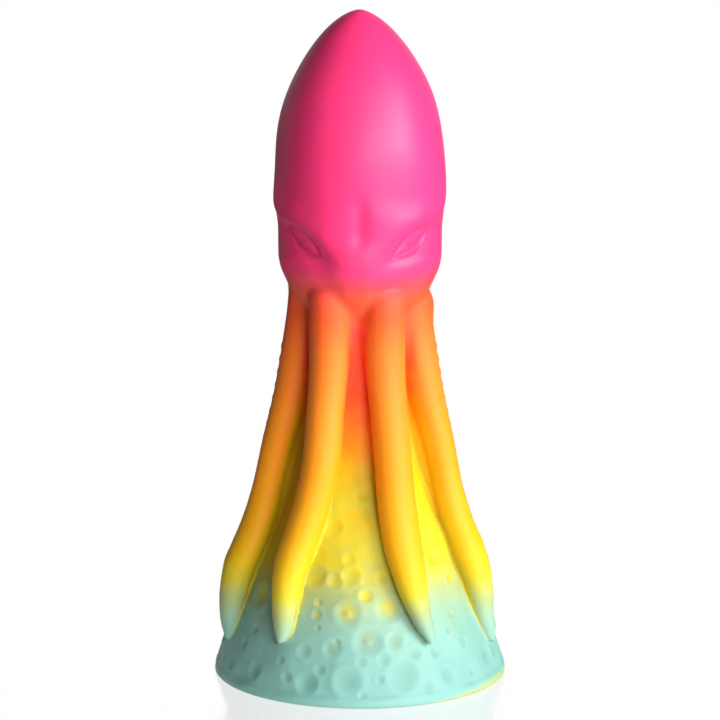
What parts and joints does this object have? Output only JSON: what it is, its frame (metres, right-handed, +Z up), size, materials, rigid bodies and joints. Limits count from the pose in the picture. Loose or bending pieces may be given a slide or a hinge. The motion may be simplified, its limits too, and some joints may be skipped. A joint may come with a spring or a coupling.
{
  "type": "squid-shaped silicone adult toy",
  "caption": "Upright squid-shaped cast silicone adult toy: pointed mantle, head with almond eyes, and arms that run down over a cratered rock foot with a suction base.",
  "frame": {"origin": "centre of the suction base on its sealing plane", "axes": "+Z up to the mantle's tip, the face looks along -Y, +X is to the right of someone facing it"},
  "size_m": [0.091, 0.091, 0.206],
  "materials": {
    "pink_pour": "matte silicone, hot pink",
    "orange_pour": "matte silicone, salmon orange",
    "arm_pour": "matte silicone, orange at the root through yellow to aqua at the tip",
    "aqua_pour": "matte silicone, aqua with a yellow-green peak"
  },
  "bodies": {
    "root": {"suction_base": "aqua_pour", "rock": "aqua_pour", "trunk": "orange_pour", "head": "pink_pour", "mantle": "pink_pour", "eye_left": "pink_pour", "eye_right": "pink_pour", "arm_front_left": "arm_pour", "arm_front_right": "arm_pour", "arm_side_left": "arm_pour", "arm_side_right": "arm_pour", "arm_rear_left": "arm_pour", "arm_rear_right": "arm_pour", "arm_back_left": "arm_pour", "arm_back_right": "arm_pour", "suckers_side_left": "arm_pour", "suckers_side_right": "arm_pour", "suckers_rear_left": "arm_pour", "suckers_rear_right": "arm_pour", "suckers_back_left": "arm_pour", "suckers_back_right": "arm_pour"}
  },
  "joints": []
}
